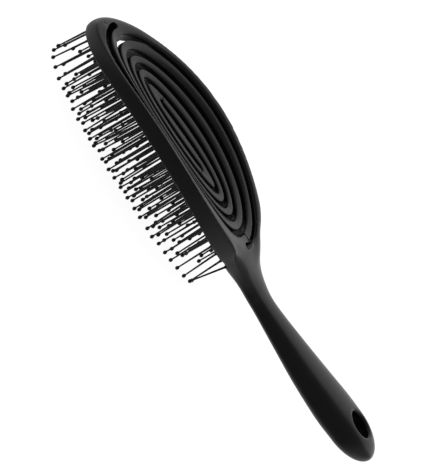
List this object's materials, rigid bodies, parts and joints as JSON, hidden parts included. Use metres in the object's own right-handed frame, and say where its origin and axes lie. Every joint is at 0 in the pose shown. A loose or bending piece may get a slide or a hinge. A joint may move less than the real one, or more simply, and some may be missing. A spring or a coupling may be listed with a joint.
{
  "type": "vented spiral hair brush",
  "caption": "Vented detangling hair brush: oval curved head with a flexible double-spiral pad, long ball-tipped pins, slim rounded handle with a hanging hole.",
  "frame": {"origin": "under the middle of the brush's box, level with the lowest pin tips", "axes": "+X from the head's tip to the handle's end, +Z out of the back of the head, away from the pins, +Y across the head"},
  "size_m": [0.2448, 0.0636, 0.0402],
  "materials": {
    "frame_shell": "satin black moulded plastic",
    "spiral_pad": "satin black moulded plastic",
    "pins": "black nylon with glossy drop tips"
  },
  "bodies": {
    "root": {"frame_and_handle": "frame_shell", "frame_pins_left": "pins", "frame_pins_right": "pins"},
    "turn_1": {"arm_a_half_turn_1": "spiral_pad", "arm_b_half_turn_1": "spiral_pad", "arm_a_pins_1": "pins", "arm_b_pins_1": "pins"},
    "turn_2": {"arm_a_half_turn_2": "spiral_pad", "arm_b_half_turn_2": "spiral_pad", "arm_a_pins_2": "pins", "arm_b_pins_2": "pins"},
    "turn_3": {"arm_a_half_turn_3": "spiral_pad", "arm_b_half_turn_3": "spiral_pad", "arm_a_pins_3": "pins", "arm_b_pins_3": "pins"},
    "turn_4": {"arm_a_half_turn_4": "spiral_pad", "arm_b_half_turn_4": "spiral_pad", "arm_a_pins_4": "pins", "arm_b_pins_4": "pins", "pad_centre": "spiral_pad", "centre_pins": "pins"}
  },
  "joints": [
    {"name": "turn_1_flex", "type": "slide", "parent": "root", "child": "turn_1", "axis": [0, 0, 1], "range_m": [0, 0.00175], "stiffness_N_per_m": 1500},
    {"name": "turn_2_flex", "type": "slide", "parent": "turn_1", "child": "turn_2", "axis": [0, 0, 1], "range_m": [0, 0.00175], "stiffness_N_per_m": 1500},
    {"name": "turn_3_flex", "type": "slide", "parent": "turn_2", "child": "turn_3", "axis": [0, 0, 1], "range_m": [0, 0.00175], "stiffness_N_per_m": 1500},
    {"name": "turn_4_flex", "type": "slide", "parent": "turn_3", "child": "turn_4", "axis": [0, 0, 1], "range_m": [0, 0.00175], "stiffness_N_per_m": 1500}
  ],
  "couplings": [
    {"joint": "turn_2_flex", "follows": "turn_1_flex", "ratio": 1},
    {"joint": "turn_3_flex", "follows": "turn_1_flex", "ratio": 1},
    {"joint": "turn_4_flex", "follows": "turn_1_flex", "ratio": 1}
  ]
}
